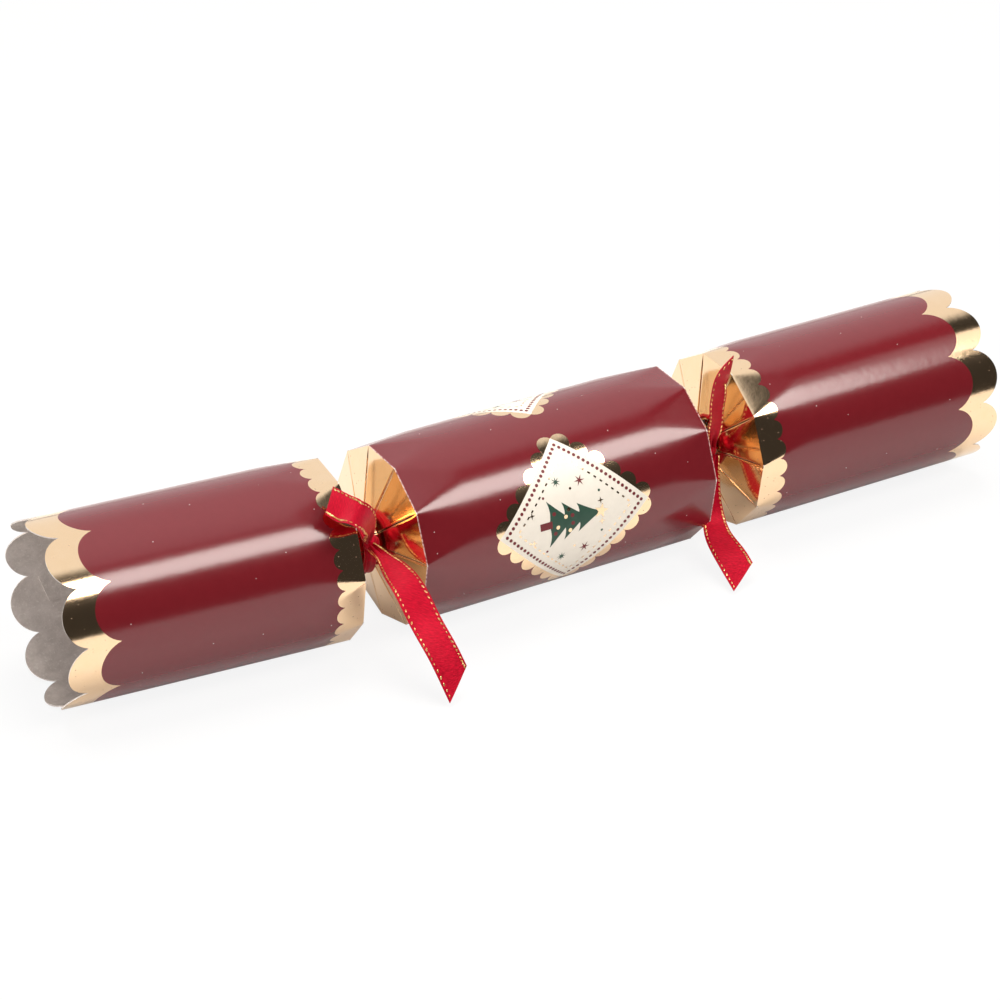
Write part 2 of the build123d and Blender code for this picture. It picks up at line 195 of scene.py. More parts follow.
# The barrel. One die-cut sheet of thin card, printed burgundy and laminated outside, bare grey board
# inside, rolled up and glued along a lap. Eleven folds flatten its outline towards the crease at each end.
low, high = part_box("barrel_wall")
AXIS_HEIGHT = (low.z + high.z) / 2
TUBE_RADIUS = high.z - AXIS_HEIGHT
BARREL_HALF = high.x
CARD = 0.0004
FACETS = 11
FOLD_STEP = 2 * math.pi / FACETS
FIRST_FOLD = math.radians(6.5)
SHOULDER_LENGTH = 0.016
SHOULDER_EASE = 0.8
SEAM = math.radians(185.9)
COLUMNS_PER_TURN = 308
COLUMN_STEP = 2 * math.pi / COLUMNS_PER_TURN
LAP_COLUMNS = 16
LAP_SLOPE_COLUMNS = 12
LAP_GAP = 0.00006
BARREL_ROWS = 52
MM = 1000
BURGUNDY = (0.137, 0.0085, 0.013, 1)
BURGUNDY_DEEP = (0.118, 0.0065, 0.0105, 1)
WORN_PINK = (0.62, 0.42, 0.39, 1)
DUST = (0.62, 0.55, 0.53, 1)
BARE_BOARD = (0.575, 0.505, 0.465, 1)
BARE_BOARD_DARK = (0.45, 0.39, 0.355, 1)
BARE_BOARD_PALE = (0.69, 0.64, 0.60, 1)
CUT_EDGE = (0.60, 0.53, 0.47, 1)
LAMINATE_IOR = 1.6
SPOT_CORE = 0.6
SPOT_SPAN = (0.55, 0.60)
PRINT_CLOUDS = 0.35
PRINT_ROUGHNESS = (0.15, 0.21)
PRINT_DULL_PATCHES = 0.8
PRINT_RIPPLES = 0.3
PRINT_RIPPLE_DEPTH = 0.00003
DUST_SPACING = 11.0
DUST_SIZE = 0.16
WORN_REACH = 0.42
WORN_THROUGH = 0.12
WORN_PATCHES = 1.3
WORN_SPAN = (0.32, 0.62)
BOARD_CLOUDS = 260
BOARD_CLOUD_SPAN = (0.30, 0.72)
BOARD_FIBRES = 1500
BOARD_FIBRE_SPAN = (0.5, 0.8)
BOARD_FIBRE_DEPTH = 0.00006
BOARD_ROUGHNESS = 0.9


def new_material(name):
    """An empty node material with a principled shader, and its tree."""
    material = bpy.data.materials.new(name)
    material.use_nodes = True
    material.node_tree.nodes.clear()
    shader = add(material.node_tree, "BsdfPrincipled")
    add(material.node_tree, "OutputMaterial", {"Surface": shader.outputs[0]})
    return material, material.node_tree, shader


def sheet_place(tree):
    """Where a point lies on the flat sheet, in millimetres."""
    return add(tree, "UVMap").outputs[0]


def noise(tree, place, scale, detail=3.0, roughness=0.55):
    """Soft noise from 0 to 1 at a place."""
    node = add(tree, "TexNoise", {"Vector": place, "Scale": scale, "Detail": detail, "Roughness": roughness})
    return node.outputs[0]


def specks(tree, place, spacing, size):
    """Sparse small spots, 1 inside a spot."""
    cells = add(tree, "TexVoronoi", {"Vector": place, "Scale": 1 / spacing}, voronoi_dimensions="2D")
    reach = reckon(tree, "MULTIPLY", cells.outputs["Distance"], spacing)
    few = step_between(tree, cells.outputs["Color"], *SPOT_SPAN)
    spot = add(tree, "MapRange", {"Value": reach, "From Min": size, "From Max": size * SPOT_CORE}).outputs[0]
    return reckon(tree, "MULTIPLY", spot, few)


def bumped(tree, shader, height, depth):
    """Fine relief on a shader, with its depth in metres."""
    bump = add(tree, "Bump", {"Height": height, "Strength": 1.0, "Distance": depth})
    plug(tree, shader, {"Normal": bump.outputs[0]})


def roughened(tree, shader, value, smooth, dull):
    """A roughness that follows a value from 0 to 1."""
    rough = add(tree, "MapRange", {"Value": value, "To Min": smooth, "To Max": dull})
    plug(tree, shader, {"Roughness": rough.outputs[0]})


def printed_card(name, crease):
    """Laminated burgundy print, with the worn line along a crease at that distance along the sheet."""
    material, tree, shader = new_material(name)
    place = sheet_place(tree)
    colour = tint(tree, noise(tree, place, PRINT_CLOUDS), BURGUNDY, BURGUNDY_DEEP)
    colour = tint(tree, specks(tree, place, DUST_SPACING, DUST_SIZE), colour, DUST)
    along = add(tree, "SeparateXYZ", {0: place}).outputs["Y"]
    off = reckon(tree, "SUBTRACT", reckon(tree, "ABSOLUTE", along), crease)
    off = reckon(tree, "ABSOLUTE", off)
    line = add(tree, "MapRange", {"Value": off, "From Min": WORN_REACH, "From Max": WORN_THROUGH}).outputs[0]
    patches = step_between(tree, noise(tree, place, WORN_PATCHES, 4.0), *WORN_SPAN)
    colour = tint(tree, reckon(tree, "MULTIPLY", line, patches), colour, WORN_PINK)
    plug(tree, shader, {"Base Color": colour, "IOR": LAMINATE_IOR})
    roughened(tree, shader, noise(tree, place, PRINT_DULL_PATCHES), *PRINT_ROUGHNESS)
    bumped(tree, shader, noise(tree, place, PRINT_RIPPLES, 2.0), PRINT_RIPPLE_DEPTH)
    return material


def bare_board(name, pale, dark, mid):
    """Uncoated board of recycled fibre, mottled in two sizes."""
    material, tree, shader = new_material(name)
    place = add(tree, "TexCoord").outputs["Object"]
    clouds = step_between(tree, noise(tree, place, BOARD_CLOUDS, 5.0, 0.65), *BOARD_CLOUD_SPAN)
    fibres = noise(tree, place, BOARD_FIBRES, 4.0, 0.7)
    colour = tint(tree, clouds, dark, mid)
    colour = tint(tree, step_between(tree, fibres, *BOARD_FIBRE_SPAN), colour, pale)
    plug(tree, shader, {"Base Color": colour, "Roughness": BOARD_ROUGHNESS})
    bumped(tree, shader, fibres, BOARD_FIBRE_DEPTH)
    return material


def around(angle, x, radius):
    """A point at an angle round the tube's axis, counted from the front upwards."""
    return Vector((x, -radius * math.cos(angle), radius * math.sin(angle)))


def snapped(column, first, step):
    """The angle of a column, eased so that each fold, cusp or notch of a row falls on a column."""
    def nearest(i):
        return round((first + i * step - SEAM) / COLUMN_STEP)
    before = math.floor((SEAM + column * COLUMN_STEP - first) / step)
    before += (nearest(before + 1) <= column) - (nearest(before) > column)
    share = (column - nearest(before)) / (nearest(before + 1) - nearest(before))
    return first + (before + share) * step


def fold_phase(angle, first, step):
    """How far an angle lies from the middle between two folds or cusps."""
    return (angle - first) % step - step / 2


def outline_radius(angle, distance):
    """Radius of the outline: straight from fold to fold at the crease, with wider bends away from it."""
    bend = TUBE_RADIUS * min(1.0, distance / SHOULDER_LENGTH) ** SHOULDER_EASE
    centre = TUBE_RADIUS - bend
    flat = bend + centre * math.cos(FOLD_STEP / 2)
    off = fold_phase(angle, FIRST_FOLD, FOLD_STEP)
    if flat * abs(math.tan(off)) <= centre * math.sin(FOLD_STEP / 2):
        return flat / math.cos(off)
    turn = FOLD_STEP / 2 - abs(off)
    return centre * math.cos(turn) + math.sqrt(max(0.0, bend ** 2 - (centre * math.sin(turn)) ** 2))


def lap_drop(column):
    """How far the sheet has gone under its other edge, at a column counted from the seam."""
    start = COLUMNS_PER_TURN - LAP_SLOPE_COLUMNS
    share = min(1.0, max(0.0, (column - start) / LAP_SLOPE_COLUMNS))
    return (CARD + LAP_GAP) * share * share * (3 - 2 * share)


def flat_sheet(name, columns, rows):
    """A flat sheet, modelled as a grid."""
    bpy.ops.object.select_all(action="DESELECT")
    bpy.ops.mesh.primitive_grid_add(x_subdivisions=columns, y_subdivisions=rows, size=1)
    sheet = bpy.context.object
    sheet.name = name
    return sheet


def form(sheet, columns, rows, place, finish=None):
    """Gives each corner of a flat sheet its place and its spot on the cut sheet, and each face its finish."""
    mesh = sheet.data
    for face in mesh.polygons:
        if finish:
            face.material_index = finish((face.center.y + 0.5) * rows)
    spots = []
    for corner in mesh.vertices:
        column = round((corner.co.x + 0.5) * columns)
        row = round((corner.co.y + 0.5) * rows)
        corner.co, spot = place(column, row)
        spots.append(spot)
    layer = mesh.uv_layers.active.data
    for loop in mesh.loops:
        layer[loop.index].uv = spots[loop.vertex_index]


def pick(piece):
    """Makes a piece the one that the next tools work on."""
    bpy.ops.object.select_all(action="DESELECT")
    piece.select_set(True)
    bpy.context.view_layer.objects.active = piece


def finish_sheet(sheet, thickness, materials, moved, back_slot=0, edge_slot=0, smooth=30.0):
    """Moves a formed sheet to its place, gives it its thickness behind its face and its materials."""
    sheet.data.transform(moved)
    if moved.determinant() < 0:
        sheet.data.flip_normals()
    for material in materials:
        sheet.data.materials.append(material)
    pick(sheet)
    wall = sheet.modifiers.new("wall", "SOLIDIFY")
    wall.thickness = thickness
    wall.offset = -1
    wall.material_offset = back_slot
    wall.material_offset_rim = edge_slot
    bpy.ops.object.modifier_apply(modifier="wall")
    bpy.ops.object.shade_smooth_by_angle(angle=math.radians(smooth))


def barrel_place(column, row):
    """One corner of the barrel's sheet."""
    angle = snapped(column, FIRST_FOLD, FOLD_STEP)
    x = math.cos(math.pi * row / BARREL_ROWS) * BARREL_HALF
    radius = outline_radius(angle, BARREL_HALF - abs(x)) - lap_drop(column)
    return around(angle, x, radius), (column * COLUMN_STEP * TUBE_RADIUS * MM, x * MM)


board = bare_board("bare_board", BARE_BOARD_PALE, BARE_BOARD_DARK, BARE_BOARD)
cut_edge = bare_board("cut_edge", WHITE, BARE_BOARD, CUT_EDGE)
to_axis = Matrix.Translation((0, 0, AXIS_HEIGHT))
barrel = flat_sheet("barrel_card", COLUMNS_PER_TURN + LAP_COLUMNS, BARREL_ROWS)
form(barrel, COLUMNS_PER_TURN + LAP_COLUMNS, BARREL_ROWS, barrel_place)
finish_sheet(barrel, CARD, [printed_card("barrel_print", BARREL_HALF * MM), board, cut_edge], to_axis, 1, 2)
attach(barrel, "barrel")
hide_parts("barrel_wall")


# The end tubes. The same card, with mirror-gold foil stamped along the scalloped open rim and along the
# crease at the neck. The left one has swung a little at its neck.
NECK_X = next(joint for joint in frame["joints"] if joint["name"] == "right_swing")["pos_m"][0]
CREASE = NECK_X - BARREL_HALF
RIM_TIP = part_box("right_tube")[1].x - NECK_X
RIM_LOBES = 10
LOBE_STEP = 2 * math.pi / RIM_LOBES
FIRST_NOTCH = math.radians(5.9)
RIM_DEPTH = 0.0062
RIM_NOTCH = RIM_TIP - RIM_DEPTH
RIM_FOIL = 0.0093
BAND_NOTCH = 0.0062
BAND_DEPTH = 0.0023
BAND_LOBES = 28
BAND_STEP = 2 * math.pi / BAND_LOBES
LEFT_SWING = math.radians(-5.3)
TAB_SETBACK = 0.0026
TAB_TAPER = 0.0023
BAND_ROWS = 8
BODY_ROWS = 34
FOIL_ROWS = 6
TUBE_ROWS = BAND_ROWS + BODY_ROWS + FOIL_ROWS
CUSP_ANGLE = {"left": math.radians(29.6), "right": math.radians(34.0)}
GOLD = (0.93, 0.69, 0.46, 1)
GOLD_WARM = (0.90, 0.645, 0.40, 1)
GOLD_PIT = (0.20, 0.09, 0.06, 1)
FOIL_CLOUDS = 0.25
FOIL_GRAIN = 2.2
FOIL_ROUGHNESS = (0.07, 0.15)
FOIL_RIPPLES = 0.5
FOIL_RIPPLE_DEPTH = 0.000014
PIT_SPACING = 2.6
PIT_SIZE = 0.17
PIT_PATCHES = 0.07
PIT_SPAN = (0.44, 0.58)


def gold_foil(name):
    """Hot-stamped mirror foil over card: nearly flat, with the board's grain and pits down to the card."""
    material, tree, shader = new_material(name)
    place = sheet_place(tree)
    colour = tint(tree, noise(tree, place, FOIL_CLOUDS), GOLD, GOLD_WARM)
    patches = step_between(tree, noise(tree, place, PIT_PATCHES), *PIT_SPAN)
    pits = reckon(tree, "MULTIPLY", specks(tree, place, PIT_SPACING, PIT_SIZE), patches)
    metal = reckon(tree, "SUBTRACT", 1.0, pits)
    plug(tree, shader, {"Base Color": tint(tree, pits, colour, GOLD_PIT), "Metallic": metal})
    roughened(tree, shader, noise(tree, place, FOIL_GRAIN, 4.0, 0.6), *FOIL_ROUGHNESS)
    bumped(tree, shader, noise(tree, place, FOIL_RIPPLES, 3.0), FOIL_RIPPLE_DEPTH)
    return material


def scallop(angle, first, step, depth):
    """Height of a row of round lobes above their notches, at an angle."""
    half = TUBE_RADIUS * math.sin(step / 2)
    off = TUBE_RADIUS * math.sin(fold_phase(angle, first, step))
    radius = (half * half + depth * depth) / (2 * depth)
    return depth - radius + math.sqrt(radius * radius - off * off)


def between(start, stop, share):
    """A value part of the way from start to stop."""
    return start + (stop - start) * share


def tube_place(side):
    """The rule that forms an end tube's sheet, with the neck's middle at the origin and the rim at +X."""
    def place(column, row):
        cusp = CUSP_ANGLE[side]
        at_rim = snapped(column, FIRST_NOTCH, LOBE_STEP)
        at_band = snapped(column, cusp, BAND_STEP)
        at_crease = snapped(column, FIRST_FOLD, FOLD_STEP)
        band = CREASE + BAND_NOTCH + scallop(at_band, cusp, BAND_STEP, BAND_DEPTH)
        lobe = scallop(at_rim, FIRST_NOTCH, LOBE_STEP, RIM_DEPTH)
        rim = RIM_NOTCH + lobe
        if column > COLUMNS_PER_TURN:
            share = (column - COLUMNS_PER_TURN) / LAP_COLUMNS
            rim = RIM_NOTCH - TAB_SETBACK - TAB_TAPER * share
        foil = min(RIM_NOTCH - RIM_FOIL + lobe, rim - TAB_SETBACK)
        if row <= FOIL_ROWS:
            x = between(rim, foil, row / FOIL_ROWS)
            angle = at_rim
        elif row <= FOIL_ROWS + BODY_ROWS:
            share = (row - FOIL_ROWS) / BODY_ROWS
            x = between(foil, band, share)
            angle = between(at_rim, at_band, share)
        else:
            share = (row - FOIL_ROWS - BODY_ROWS) / BAND_ROWS
            x = between(band, CREASE, share * (2 - share))
            angle = between(at_band, at_crease, share)
        radius = outline_radius(angle, x - CREASE) - lap_drop(column)
        return around(angle, x, radius), (column * COLUMN_STEP * TUBE_RADIUS * MM, x * MM)
    return place


def tube_finish(row):
    """Foil along the crease and the rim, print between."""
    return 0 if FOIL_ROWS < row < FOIL_ROWS + BODY_ROWS else 1


tube_print = printed_card("tube_print", 0.0)
tube_foil = gold_foil("tube_foil")
to_right = Matrix.Translation((NECK_X, 0, AXIS_HEIGHT))
mirrored = Matrix.Scale(-1, 4, (1, 0, 0))
to_left = Matrix.Translation((-NECK_X, 0, AXIS_HEIGHT)) @ Matrix.Rotation(LEFT_SWING, 4, "Z") @ mirrored
for side, moved in (("left", to_left), ("right", to_right)):
    tube = flat_sheet(f"{side}_tube_card", COLUMNS_PER_TURN + LAP_COLUMNS, TUBE_ROWS)
    form(tube, COLUMNS_PER_TURN + LAP_COLUMNS, TUBE_ROWS, tube_place(side), tube_finish)
    finish_sheet(tube, CARD, [tube_print, tube_foil, board, board, cut_edge, cut_edge], moved, 2, 4)
    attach(tube, f"{side}_end")
    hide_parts(f"{side}_tube")


# The necks. The gold-stamped part of the sheet, folded in flat facets from the crease to the waist, with
# the spare card between two facets tucked behind as a gusset. The barrel's side runs on into the waist.
FUNNEL_RADIUS = 0.0065
FUNNEL_OFFSET = 0.0034
FUNNEL_SLOPE = (CREASE - FUNNEL_OFFSET) / (TUBE_RADIUS - FUNNEL_RADIUS)
FOLD_ROUNDING = 0.00045
ROUNDING_LIMIT = 0.6
SLIT = 0.00008
SLIT_LIMIT = 0.2
GUSSET_LIMIT = 0.0040
FOLD_STEPS = 4
PANEL_STOPS = (0.0, 0.04, 0.25, 0.5, 0.75, 0.96, 1.0)
NECK_ROWS = 14
TORN_RADIUS = 0.0083
TORN_ROUGHNESS = 0.0005
TORN_WAVE = 7.3
TORN_DRIFT = 2.1
WAIST_RADIUS = 0.0076
WAIST_ROWS = 6
WAIST_END = 0.0042
PLEAT_EASE = 3
PLEAT_DEPTH = 0.0016
FACET_COLUMNS = 2 * (FOLD_STEPS + 2) + len(PANEL_STOPS) - 2


def facet_section(width, gusset):
    """Across one facet: how far along it and how deep behind it each corner lies, from gusset to gusset."""
    rounding = min(FOLD_ROUNDING, gusset * ROUNDING_LIMIT)
    slit = min(SLIT, gusset * SLIT_LIMIT)
    edge = [(slit, gusset)]
    for i in range(FOLD_STEPS + 1):
        turn = math.pi / 2 * i / FOLD_STEPS
        edge.append((slit + rounding * (1 - math.cos(turn)), rounding * (1 - math.sin(turn))))
    start = slit + rounding
    panel = [(between(start, width - start, stop), 0.0) for stop in PANEL_STOPS[1:-1]]
    return edge + panel + [(width - along, deep) for along, deep in reversed(edge)]


def neck_place(inner_radius, torn, waist_rows):
    """The rule that forms a neck's sheet, with the tube towards +X and the waist at the origin."""
    def place(column, row):
        facet, spot = divmod(column, FACET_COLUMNS)
        cone_row = min(row, NECK_ROWS)
        radius = between(TUBE_RADIUS, inner_radius, cone_row / NECK_ROWS)
        x = CREASE - FUNNEL_SLOPE * (TUBE_RADIUS - radius)
        first = FIRST_FOLD + facet * FOLD_STEP
        width = 2 * radius * math.sin(FOLD_STEP / 2)
        full = 2 * TUBE_RADIUS * math.sin(FOLD_STEP / 2)
        gusset = min(GUSSET_LIMIT, (full - width) / 2)
        inward = Vector((1, 0, 0))
        if row == NECK_ROWS and torn:
            x += TORN_ROUGHNESS * math.sin(TORN_WAVE * column) * math.sin(TORN_DRIFT * column)
        if row > NECK_ROWS:
            share = (row - NECK_ROWS) / waist_rows
            x = between(x, -WAIST_END, share)
            pleated = min(1.0, PLEAT_EASE * share)
            gusset = between(gusset, PLEAT_DEPTH, pleated)
            inward = (inward * (1 - pleated) - around(first, 0, 1) * pleated).normalized()
        start = around(first, x, radius)
        stop = around(first + FOLD_STEP, x, radius)
        along, deep = facet_section(width, gusset)[spot]
        if row > NECK_ROWS and along > width / 2:
            inward = inward + around(first, 0, 1) - around(first + FOLD_STEP, 0, 1)
        point = start + (stop - start) * (along / width) + inward * deep
        flat_off = (along - width / 2) * MM
        return point, (flat_off + facet * full * MM, (TUBE_RADIUS - radius) * MM)
    return place


neck_foil = gold_foil("neck_foil")
for side, moved in (("left", to_left), ("right", to_right)):
    neck = flat_sheet(f"{side}_tube_facets", FACETS * FACET_COLUMNS, NECK_ROWS)
    form(neck, FACETS * FACET_COLUMNS, NECK_ROWS, neck_place(TORN_RADIUS, True, 0))
    finish_sheet(neck, CARD, [neck_foil, board, cut_edge], moved, 1, 2)
    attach(neck, f"{side}_end")
    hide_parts(f"{side}_tube_neck")
for side, sign in (("left", 1), ("right", -1)):
    neck = flat_sheet(f"barrel_{side}_facets", FACETS * FACET_COLUMNS, NECK_ROWS + WAIST_ROWS)
    form(neck, FACETS * FACET_COLUMNS, NECK_ROWS + WAIST_ROWS, neck_place(WAIST_RADIUS, False, WAIST_ROWS))
    moved = Matrix.Translation((-sign * NECK_X, 0, AXIS_HEIGHT))
    moved = moved if sign > 0 else moved @ mirrored
    finish_sheet(neck, CARD, [neck_foil, board, cut_edge], moved, 1, 2)
    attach(neck, "barrel")
    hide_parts(f"barrel_{side}_neck")


# The ribbons. Crimson satin ten millimetres wide with a gold thread along each edge, passed round the waist,
# knotted once in front and cut on the slant. The knot pulls it into pleats, which open along the tails.
RIBBON_WIDTH = 0.010
RIBBON_THICKNESS = 0.00024
TAIL_COLUMNS = 20
TAIL_ROWS = 72
PLEAT_REACH = 1.6
TAIL_PLEAT_DEPTH = 0.0011
TAIL_PLEAT_PHASE = 0.6
GATHER_FADE = 1.5
CUP_DEPTH = 0.00045
CUP_LEVEL = 0.4
CUP_WAVE = 1.7
DIRECTION_STEP = 0.01
LONG_CUT = 0.007
LEFT_SHORT_CUT = -0.003
RIGHT_SHORT_CUT = 0.005
KNOT_FACE = 0.01195
THREAD_INSET = 0.0008
STITCH_PITCH = 0.00125
STITCH_LENGTH = 0.00100
STITCH_WIDTH = 0.00050
STITCH_HEIGHT = 0.00032
STITCH_SLANT = math.radians(18)
STITCH_UNEVEN = 0.5
STITCH_DRIFT = 5.1
STITCH_SPREAD = 0.4
STITCH_RISE = 0.2 * STITCH_HEIGHT
TWILL_TURN = (0, 0, math.radians(58))
TWILL_SCALE = (3.4, 0.6, 1.0)
CRIMSON = (0.43, 0.0025, 0.019, 1)
CRIMSON_DEEP = (0.20, 0.001, 0.008, 1)
# The satin's highlight colour: the tint of its real highlights and sheen, and also the colour of its painted
# sheen.
SATIN_HIGHLIGHT = (0.70, 0.03, 0.06, 1)
# The gold of the thread's painted glints, and the dull gold painted between them.
THREAD_GOLD = (0.98, 0.72, 0.32, 1)
THREAD_DULL = (0.62, 0.34, 0.10, 1)
FLOAT_SPAN = (0.30, 0.75)
FLOAT_DEPTH = 0.00005
# Painted sheen on the satin: how broad its lighter patches are and how far they pull the colour towards the
# highlight colour.
PAINTED_SHEEN_PATCHES = 0.12
PAINTED_SHEEN_SHARE = 0.16
SATIN_ROUGHNESS = (0.30, 0.48)
SATIN_STRETCH = 0.6
SATIN_SHINE = 0.9
SATIN_SHEEN = 0.25
SATIN_FOLD = 40.0
THREAD_GLINTS = 900
GLINT_SPAN = (0.35, 0.60)
THREAD_ROUGHNESS = 0.28
THREAD_RIBS = 2500
THREAD_RIB_DEPTH = 0.0001
KNOT_ANGLE = {"left": math.radians(26), "right": math.radians(17)}
TAIL_SPREAD = math.radians(6)
LEFT_LONG = (
    (around(KNOT_ANGLE["left"] - TAIL_SPREAD, -0.0012, KNOT_FACE), (1, 0, 0.3), 0.25),
    ((-0.0002, -0.0152, 0.0032), (0.94, 0.34, 0), 0.45),
    ((0.0008, -0.0212, 0.0014), (0.91, 0.33, 0.25), 0.76),
    ((0.0011, -0.0290, -0.0010), (0.96, 0.22, 0.2), 0.93),
    ((0.0011, -0.0388, -0.0075), (0.97, 0.16, 0.2), 0.95),
    ((0.0027, -0.0455, -0.0145), (0.98, 0.11, 0.17), 0.95),
    ((0.0044, -0.0505, -0.0219), (0.97, 0.12, 0.2), 0.95),
)
LEFT_SHORT = (
    (around(KNOT_ANGLE["left"] + TAIL_SPREAD, -0.0018, KNOT_FACE), (0.88, 0, 0.48), 0.25),
    ((-0.0042, -0.0176, 0.0135), (0.89, 0.46, 0), 0.42),
    ((-0.0082, -0.0229, 0.0205), (0.8, 0.6, 0), 0.8),
    ((-0.0120, -0.0238, 0.0243), (0.76, 0.62, 0.17), 0.95),
    ((-0.0142, -0.0205, 0.0251), (0.7, 0.58, 0.41), 0.95),
    ((-0.0169, -0.0169, 0.0268), (0.63, 0.68, 0.37), 0.95),
)
RIGHT_LONG = (
    (around(KNOT_ANGLE["right"] - TAIL_SPREAD, 0.0006, KNOT_FACE), (1, 0, 0), 0.25),
    ((-0.0015, -0.0145, -0.0044), (1, 0, 0), 0.45),
    ((-0.0029, -0.0175, -0.0130), (0.98, 0, 0.19), 0.62),
    ((-0.0047, -0.0230, -0.0180), (0.99, 0, 0.13), 0.82),
    ((-0.0064, -0.0330, -0.0206), (0.97, 0, 0.24), 0.95),
    ((-0.0070, -0.0400, -0.0235), (0.96, 0, 0.25), 0.95),
)
RIGHT_SHORT = (
    (around(KNOT_ANGLE["right"] + TAIL_SPREAD, 0.0004, KNOT_FACE), (1, 0, 0), 0.25),
    ((-0.0002, -0.0130, 0.0096), (0.94, 0, -0.34), 0.45),
    ((-0.0005, -0.0140, 0.0160), (0.74, 0.31, -0.6), 0.68),
    ((-0.0006, -0.0145, 0.0223), (0.75, 0.35, -0.55), 0.88),
    ((0.0007, -0.0140, 0.0273), (0.67, 0.42, -0.61), 0.95),
    ((0.0050, -0.0124, 0.0294), (0.57, 0.42, -0.71), 0.95),
)


def satin(name):
    """Woven satin: long smooth floats along the ribbon, which shine across it, with patches of painted sheen.
    """
    material, tree, shader = new_material(name)
    place = sheet_place(tree)
    twill = add(tree, "Mapping", {"Vector": place, "Rotation": TWILL_TURN}).outputs[0]
    yarns = add(tree, "Mapping", {"Vector": twill, "Scale": TWILL_SCALE}).outputs[0]
    floats = noise(tree, yarns, 1.0, 2.0)
    colour = tint(tree, step_between(tree, floats, *FLOAT_SPAN), CRIMSON_DEEP, CRIMSON)
    # Painted sheen: broad soft patches of the ribbon's colour are lightened towards the satin's highlight
    # colour.
    light = reckon(tree, "MULTIPLY", noise(tree, place, PAINTED_SHEEN_PATCHES, 1.0), PAINTED_SHEEN_SHARE)
    plug(tree, shader, {
        "Base Color": tint(tree, light, colour, SATIN_HIGHLIGHT),
        "Tangent": add(tree, "Tangent", direction_type="UV_MAP").outputs[0],
        "Anisotropic": SATIN_STRETCH,
        "Specular IOR Level": SATIN_SHINE,
        "Specular Tint": SATIN_HIGHLIGHT,
        "Sheen Weight": SATIN_SHEEN,
        "Sheen Tint": SATIN_HIGHLIGHT,
    })
    roughened(tree, shader, floats, *SATIN_ROUGHNESS)
    bumped(tree, shader, floats, FLOAT_DEPTH)
    return material


def metal_thread(name):
    """Flat gilt film wound round a core, with painted glints: bright gold in scattered spots of its colour,
    dull between.
    """
    material, tree, shader = new_material(name)
    place = add(tree, "TexCoord").outputs["Object"]
    # Painted glints: noise spots lift the thread's colour from dull to bright gold.
    glint = step_between(tree, noise(tree, place, THREAD_GLINTS, 2.0), *GLINT_SPAN)
    colour = tint(tree, glint, THREAD_DULL, THREAD_GOLD)
    plug(tree, shader, {"Base Color": colour, "Metallic": 1.0, "Roughness": THREAD_ROUGHNESS})
    bumped(tree, shader, noise(tree, place, THREAD_RIBS, 2.0), THREAD_RIB_DEPTH)
    return material


def curve_through(stops, t):
    """A smooth curve through stops, at t counted in stops."""
    last = len(stops) - 1
    i = min(int(t), last - 1)
    f = t - i
    before, start, stop, after = (stops[max(i - 1, 0)], stops[i], stops[i + 1], stops[min(i + 2, last)])
    turn = (before * 2 - start * 5 + stop * 4 - after) * f * f
    return (start * 2 + (stop - before) * f + turn + (start * 3 - before - stop * 3 + after) * f ** 3) * 0.5


def tail_frame(route, t):
    """The middle of a tail at t, its directions along, across and out of its face, and its gathered share."""
    middles = [Vector(middle) for middle, across, share in route]
    sides = [Vector(across).normalized() for middle, across, share in route]
    shares = [share for middle, across, share in route]
    back = max(0.0, t - DIRECTION_STEP)
    ahead = min(len(route) - 1.0, t + DIRECTION_STEP)
    along = (curve_through(middles, ahead) - curve_through(middles, back)).normalized()
    side = curve_through(sides, t)
    side = (side - along * side.dot(along)).normalized()
    return curve_through(middles, t), along, side, along.cross(side), curve_through(shares, t)


def tail_point(route, cut, t, off):
    """A point of a tail at t along it and off across it, from -0.5 at one edge to 0.5 at the other."""
    middle, along, side, out, share = tail_frame(route, t)
    gather = max(0.0, 1 - t / PLEAT_REACH) ** GATHER_FADE
    pleats = TAIL_PLEAT_DEPTH * gather * math.cos(4 * math.pi * off + TAIL_PLEAT_PHASE)
    cup = CUP_DEPTH * (1 - gather) * (4 * off * off - CUP_LEVEL) * math.sin(CUP_WAVE * t)
    slant = max(0.0, t - len(route) + 2) * cut * off
    return middle + side * (off * RIBBON_WIDTH * share) + out * (pleats + cup) - along * slant, out


def tail_place(route, cut):
    """The rule that forms a tail's sheet."""
    def place(column, row):
        off = column / TAIL_COLUMNS - 0.5
        t = (len(route) - 1) * row / TAIL_ROWS
        return tail_point(route, cut, t, off)[0], (off * RIBBON_WIDTH * MM, t * RIBBON_WIDTH * MM)
    return place


def tail_length(route):
    """How long a tail is along its middle."""
    steps = [tail_point(route, 0, (len(route) - 1) * row / TAIL_ROWS, 0)[0] for row in range(TAIL_ROWS + 1)]
    return sum((steps[i + 1] - steps[i]).length for i in range(TAIL_ROWS))


def loose_piece(name, corners, faces):
    """A piece made from its corners and faces."""
    mesh = bpy.data.meshes.new(name)
    mesh.from_pydata(corners, [], faces)
    piece = bpy.data.objects.new(name, mesh)
    bpy.context.scene.collection.objects.link(piece)
    return piece


def copies(name, shape, places):
    """One mesh with a copy of a small shape at each place."""
    corners = []
    faces = []
    for place in places:
        first = len(corners)
        corners += [place @ corner.co for corner in shape.vertices]
        faces += [[first + corner for corner in face.vertices] for face in shape.polygons]
    return loose_piece(name, corners, faces)


def stitch_shape():
    """One stitch of the thread: a small flat grain."""
    bpy.ops.object.select_all(action="DESELECT")
    bpy.ops.mesh.primitive_uv_sphere_add(segments=8, ring_count=5, radius=0.5)
    grain = bpy.context.object
    shape = grain.data
    shape.transform(Matrix.Rotation(math.pi / 2, 4, "Y"))
    for corner in shape.vertices:
        corner.co.x *= STITCH_LENGTH
        corner.co.y *= STITCH_WIDTH
        corner.co.z *= STITCH_HEIGHT
    bpy.data.objects.remove(grain)
    return shape


